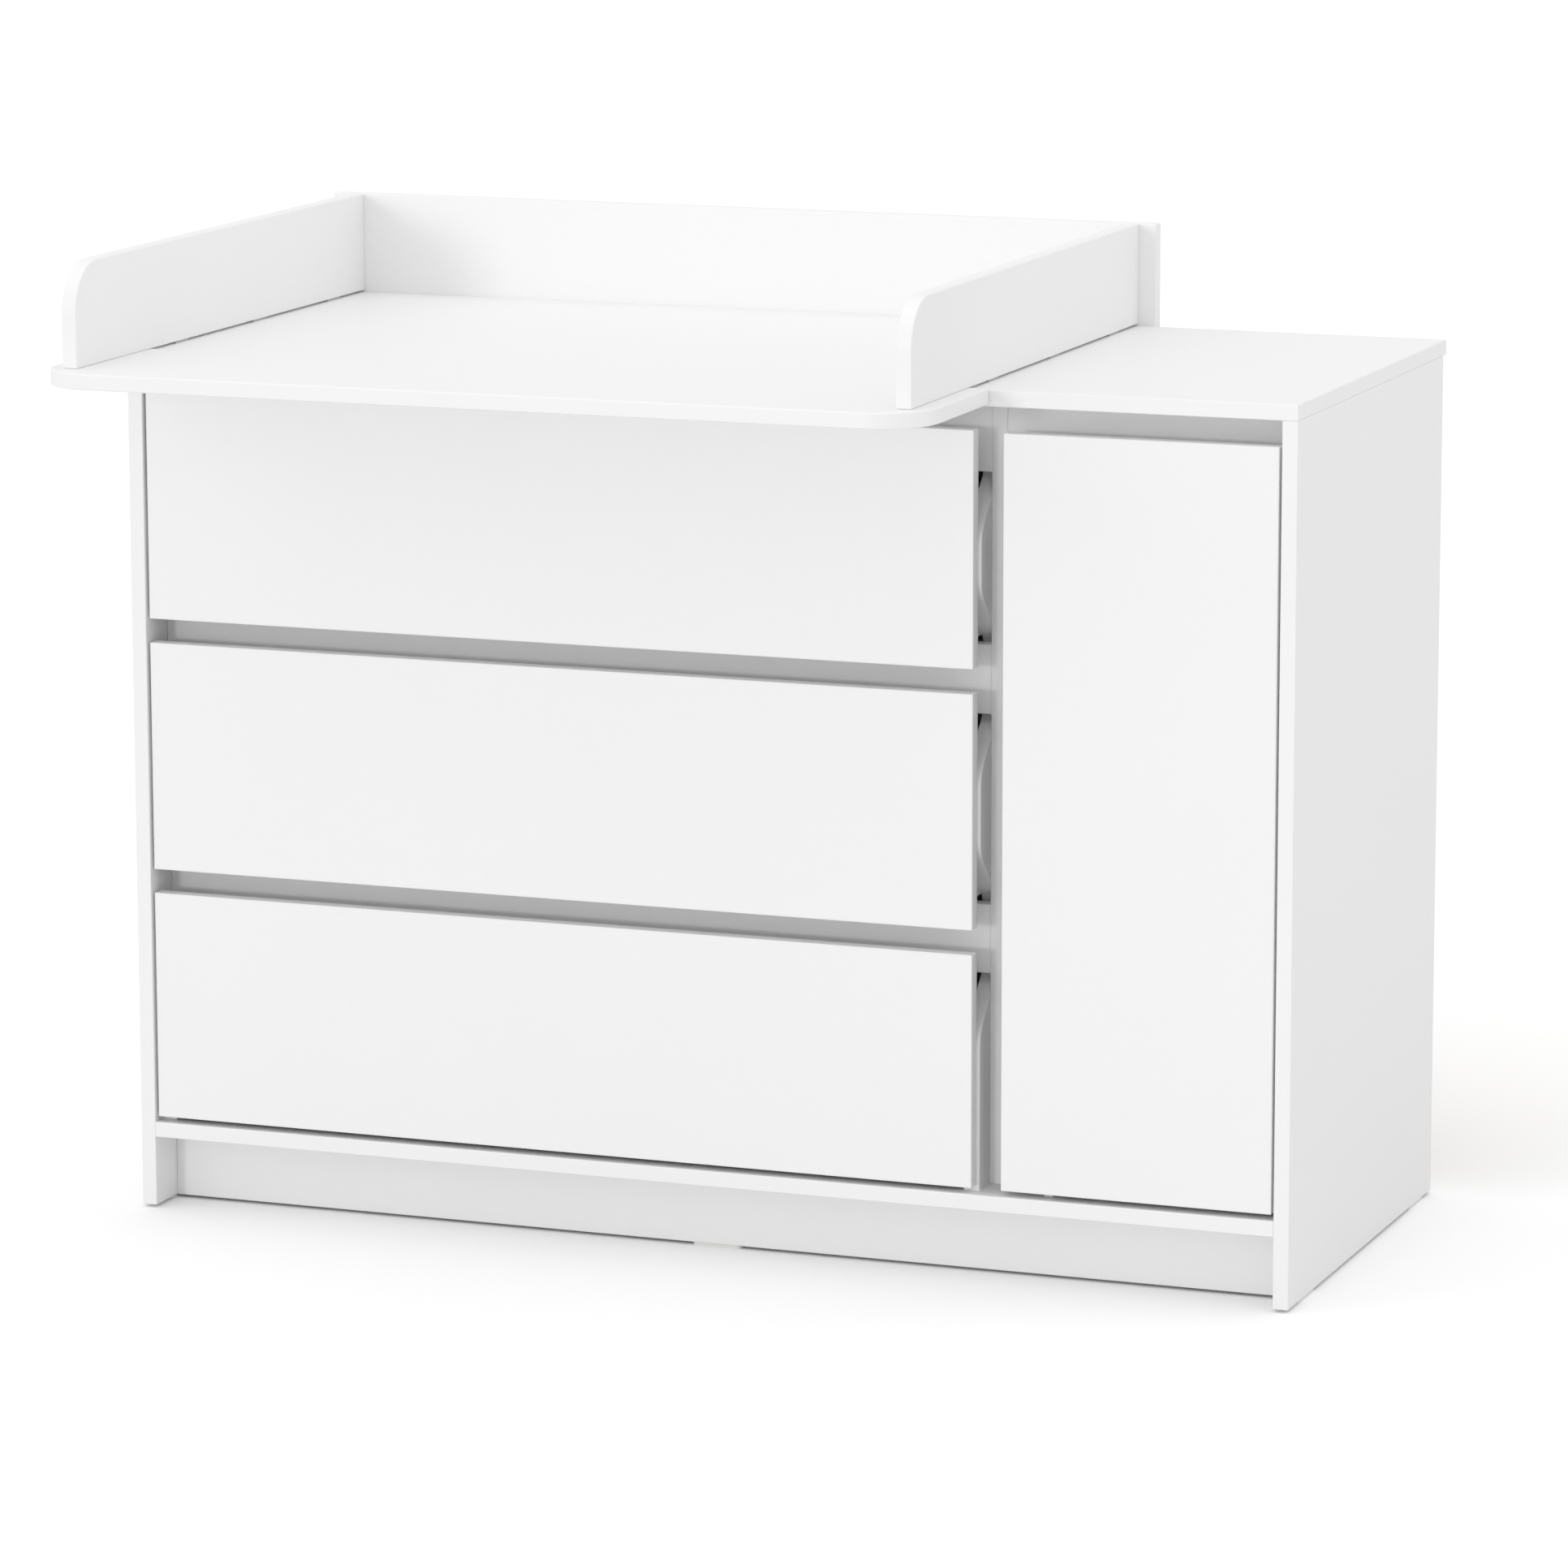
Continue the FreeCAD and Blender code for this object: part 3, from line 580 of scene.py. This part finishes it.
screw = {
    "headRadius": 0.0042,
    "headHeight": 0.002,
    "headRound": 0.0011,
    "shankRadius": 0.002,
    "length": 0.045,
    "pointLength": 0.004,
    "recess": (0.0046, 0.0009, 0.0026),  # length, width and twice the depth of each arm of the cross
    "threadPitch": 0.0018,
    "threadDepth": 0.0005,
    "threadedFrom": 0.02,  # a shorter screw has a single turn, because its shank is hidden
    "point": 0.08,  # how narrow the tip is, against the shank
    "roundShare": 0.6,  # the most of the head's height that is rounded
    "topDepth": 0.0001,
    "sides": 32,
    "roundSteps": 4,
}


# A pan-head screw pointing down, the top of its head at the origin.
def makeScrew(head=screw["headRadius"], height=screw["headHeight"], length=screw["length"]):
    bpy.ops.object.select_all(action="DESELECT")
    bpy.ops.mesh.primitive_cylinder_add(vertices=screw["sides"], radius=head, depth=height,
                                        location=(0, 0, -height / 2))
    piece = bpy.context.active_object
    applyPlace()
    pick(piece, lambda middle, normal: normal.z < -modelling["sameWay"])
    bpy.ops.mesh.inset(thickness=head - screw["shankRadius"])
    shank = length - screw["pointLength"]
    turns = int(shank / screw["threadPitch"]) if length > screw["threadedFrom"] else 1
    step = shank / turns
    for turn in range(turns):
        bpy.ops.mesh.extrude_region_move(TRANSFORM_OT_translate={"value": (0, 0, -step / 2)})
        narrow = 1 - screw["threadDepth"] / screw["shankRadius"]
        bpy.ops.transform.resize(value=(narrow, narrow, 1))
        bpy.ops.mesh.extrude_region_move(TRANSFORM_OT_translate={"value": (0, 0, -step / 2)})
        bpy.ops.transform.resize(value=(1 / narrow, 1 / narrow, 1))
    bpy.ops.mesh.extrude_region_move(TRANSFORM_OT_translate={"value": (0, 0, -screw["pointLength"])})
    bpy.ops.transform.resize(value=(screw["point"], screw["point"], 1))
    pick(piece, lambda middle, normal: normal.z > modelling["sameWay"] and middle.z > -screw["topDepth"])
    rounding = min(screw["headRound"], height * screw["roundShare"])
    bpy.ops.mesh.bevel(offset=rounding, segments=screw["roundSteps"])
    leaveEdit()
    along, across, deep = (part * head / screw["headRadius"] for part in screw["recess"])
    for size in ((along, across, deep), (across, along, deep)):
        bpy.ops.object.select_all(action="DESELECT")
        bpy.ops.mesh.primitive_cube_add(size=1, location=(0, 0, 0), scale=size)
        combine(piece, bpy.context.active_object, "DIFFERENCE")
    return piece


master = makeScrew()
backScrews = [(((low.x + high.x) / 2, high.y, (low.z + high.z) / 2), backwards)
              for low, high in solidsOf("back_board_screws")]
placeCopies(master, "backBoardScrew", backScrews, "carcass", "back_board_screws", "zinc_steel")
lowerScrews = [(((low.x + high.x) / 2, (low.y + high.y) / 2, low.z), downwards)
               for low, high in solidsOf("plate_screws")]
placeCopies(master, "plateScrew", lowerScrews, "carcass", "plate_screws", "zinc_steel")
bpy.data.objects.remove(master)
print("screws made:", len(backScrews) + len(lowerScrews))

nail = {
    "radius": 0.0035,
    "height": 0.0008,
    "shoulder": 0.0012,
    "sides": 20,
    "roundSteps": 3,
    "round": 0.7,  # this and the next two are shares of the height
    "top": 0.1,
    "dish": 0.15,
}


# A flat nail head with a rounded rim and a shallow dish, its top at the origin.
def makeNail():
    bpy.ops.object.select_all(action="DESELECT")
    bpy.ops.mesh.primitive_cylinder_add(vertices=nail["sides"], radius=nail["radius"], depth=nail["height"],
                                        location=(0, 0, -nail["height"] / 2))
    piece = bpy.context.active_object
    applyPlace()
    pick(piece, lambda middle, normal: normal.z > modelling["sameWay"])
    bpy.ops.mesh.bevel(offset=nail["height"] * nail["round"], segments=nail["roundSteps"])
    top = -nail["height"] * nail["top"]
    pick(piece, lambda middle, normal: normal.z > modelling["sameWay"] and middle.z > top)
    bpy.ops.mesh.inset(thickness=nail["shoulder"], depth=-nail["height"] * nail["dish"])
    leaveEdit()
    return piece


master = makeNail()
nails = [(((low.x + high.x) / 2, high.y, (low.z + high.z) / 2), backwards)
         for low, high in solidsOf("back_panel_nails")]
placeCopies(master, "backPanelNail", nails, "carcass", "back_panel_nails", "zinc_steel")
bpy.data.objects.remove(master)
print("nails made:", len(nails))

hinge = {
    "cupRadius": 0.0173,
    "cupInner": 0.0155,
    "rim": 0.0012,
    "flange": 0.0012,
    "floor": 0.001,
    "cutBeyond": 0.01,
    "wingHalfWidth": 0.007,
    "wingRound": 0.006,
    "wall": 0.0015,
    "armRound": 0.003,
    "knuckleRound": 0.0022,
    "pressed": 0.0006,
    "plateThickness": 0.002,
    "plateRound": 0.006,
    "pedestalHalfHeight": 0.0064,
    "pedestalRound": 0.0025,
    "armScrews": (0.005, 0.0145),  # how far in from the arm's rear end
    "cupScrewInset": 0.007,  # from the wing's end
    "plateScrewInset": 0.009,  # from the plate's end
    "knuckleMargin": 0.0016,
    "pedestalMargin": 0.002,
    "pedestalSunk": 0.001,
    "soft": 0.0003,
    "knuckleSoft": 0.0002,
    "cupSides": 72,
    "screwHead": (0.0036, 0.0013, 0.008),  # radius, height and length of the small screws
}


def smallScrew(spot, turn):
    piece = makeScrew(*hinge["screwHead"])
    piece.location = spot
    piece.rotation_euler = turn
    choose(piece)
    applyPlace()
    return piece


def withScrews(piece, spots, turn):
    screws = [smallScrew(spot, turn) for spot in spots]
    bpy.ops.object.select_all(action="DESELECT")
    for part in screws + [piece]:
        part.select_set(True)
    bpy.context.view_layer.objects.active = piece
    bpy.ops.object.join()


def cylinderAlongY(radius, front, back, x, z):
    bpy.ops.object.select_all(action="DESELECT")
    bpy.ops.mesh.primitive_cylinder_add(vertices=hinge["cupSides"], radius=radius, depth=back - front,
                                        location=(x, (front + back) / 2, z), rotation=(math.pi / 2, 0, 0))
    applyPlace()
    return bpy.context.active_object


# The cup is pressed into the door; its flange and its wing lie on the door's inner face.
def makeCup(low, high):
    x, z = (low.x + high.x) / 2, (low.z + high.z) / 2
    face = high.y - hinge["flange"]
    piece = cylinderAlongY(hinge["cupRadius"], low.y, face, x, z)
    pick(piece, lambda middle, normal: normal.y > modelling["sameWay"])
    wider = 1 + hinge["rim"] / hinge["cupRadius"]
    bpy.ops.mesh.extrude_region_move(TRANSFORM_OT_translate={"value": (0, 0, 0)})
    bpy.ops.transform.resize(value=(wider, 1, wider))
    bpy.ops.mesh.extrude_region_move(TRANSFORM_OT_translate={"value": (0, hinge["flange"], 0)})
    leaveEdit()
    wing = roundBlock((x - hinge["wingHalfWidth"], face, low.z), (x + hinge["wingHalfWidth"], high.y, high.z),
                      hinge["wingRound"], 1)
    combine(piece, wing, "UNION")
    hollow = cylinderAlongY(hinge["cupInner"], low.y + hinge["floor"], high.y + hinge["cutBeyond"], x, z)
    combine(piece, hollow, "DIFFERENCE")
    soften(piece, hinge["soft"])
    reach = (high.z - low.z) / 2 - hinge["cupScrewInset"]
    head = high.y + hinge["screwHead"][1]
    withScrews(piece, [(x, head, z - reach), (x, head, z + reach)], backwards)
    return piece


# A channel pressed from sheet, open towards the side panel, with its two adjusting screws.
def makeArm(low, high):
    piece = roundBlock(low, high, hinge["armRound"], 1, where=lambda middle: middle.x < (low.x + high.x) / 2)
    pick(piece, lambda middle, normal: max(abs(normal.y), normal.x) > modelling["sameWay"])
    bpy.ops.mesh.delete(type="FACE")
    leaveEdit()
    modifier = piece.modifiers.new("sheet", "SOLIDIFY")
    modifier.thickness = hinge["wall"]
    modifier.offset = -1
    bpy.ops.object.modifier_apply(modifier=modifier.name)
    soften(piece, hinge["soft"])
    z = (low.z + high.z) / 2
    head = low.x - hinge["screwHead"][1]
    withScrews(piece, [(head, high.y - inset, z) for inset in hinge["armScrews"]], leftwards)
    return piece


# A pressed bar with hollows in its two sides.
def makeKnuckle(low, high):
    piece = roundBlock(low, high, hinge["knuckleRound"], 2)
    pick(piece, lambda middle, normal: abs(normal.z) > modelling["sameWay"])
    bpy.ops.mesh.inset(thickness=hinge["knuckleMargin"], depth=-hinge["pressed"], use_individual=True)
    leaveEdit()
    soften(piece, hinge["knuckleSoft"])
    return piece


# The mounting plate and the pedestal that carries the arm.
def makePlate(low, high):
    x = high.x - hinge["plateThickness"]
    z = (low.z + high.z) / 2
    piece = roundBlock((x, low.y, low.z), high, hinge["plateRound"], 0)
    margin, half = hinge["pedestalMargin"], hinge["pedestalHalfHeight"]
    pedestal = roundBlock((low.x, low.y + margin, z - half),
                          (x + hinge["pedestalSunk"], high.y - margin, z + half), hinge["pedestalRound"], 0)
    combine(piece, pedestal, "UNION")
    soften(piece, hinge["soft"])
    y = (low.y + high.y) / 2
    reach = (high.z - low.z) / 2 - hinge["plateScrewInset"]
    head = x - hinge["screwHead"][1]
    withScrews(piece, [(head, y, z - reach), (head, y, z + reach)], leftwards)
    return piece


hingeParts = (  # node, maker, name, body
    ("hinge_cups", makeCup, "hingeCup", "door"),
    ("hinge_arms", makeArm, "hingeArm", "carcass"),
    ("hinge_knuckles", makeKnuckle, "hingeKnuckle", "hinge_knuckle"),
    ("hinge_plates", makePlate, "hingePlate", "carcass"),
)
for node, maker, name, body in hingeParts:
    for number, (low, high) in enumerate(solidsOf(node), start=1):
        finishPiece(maker(low, high), f"{name}.{number}", body, node, "nickel_steel")
print("hinges made")
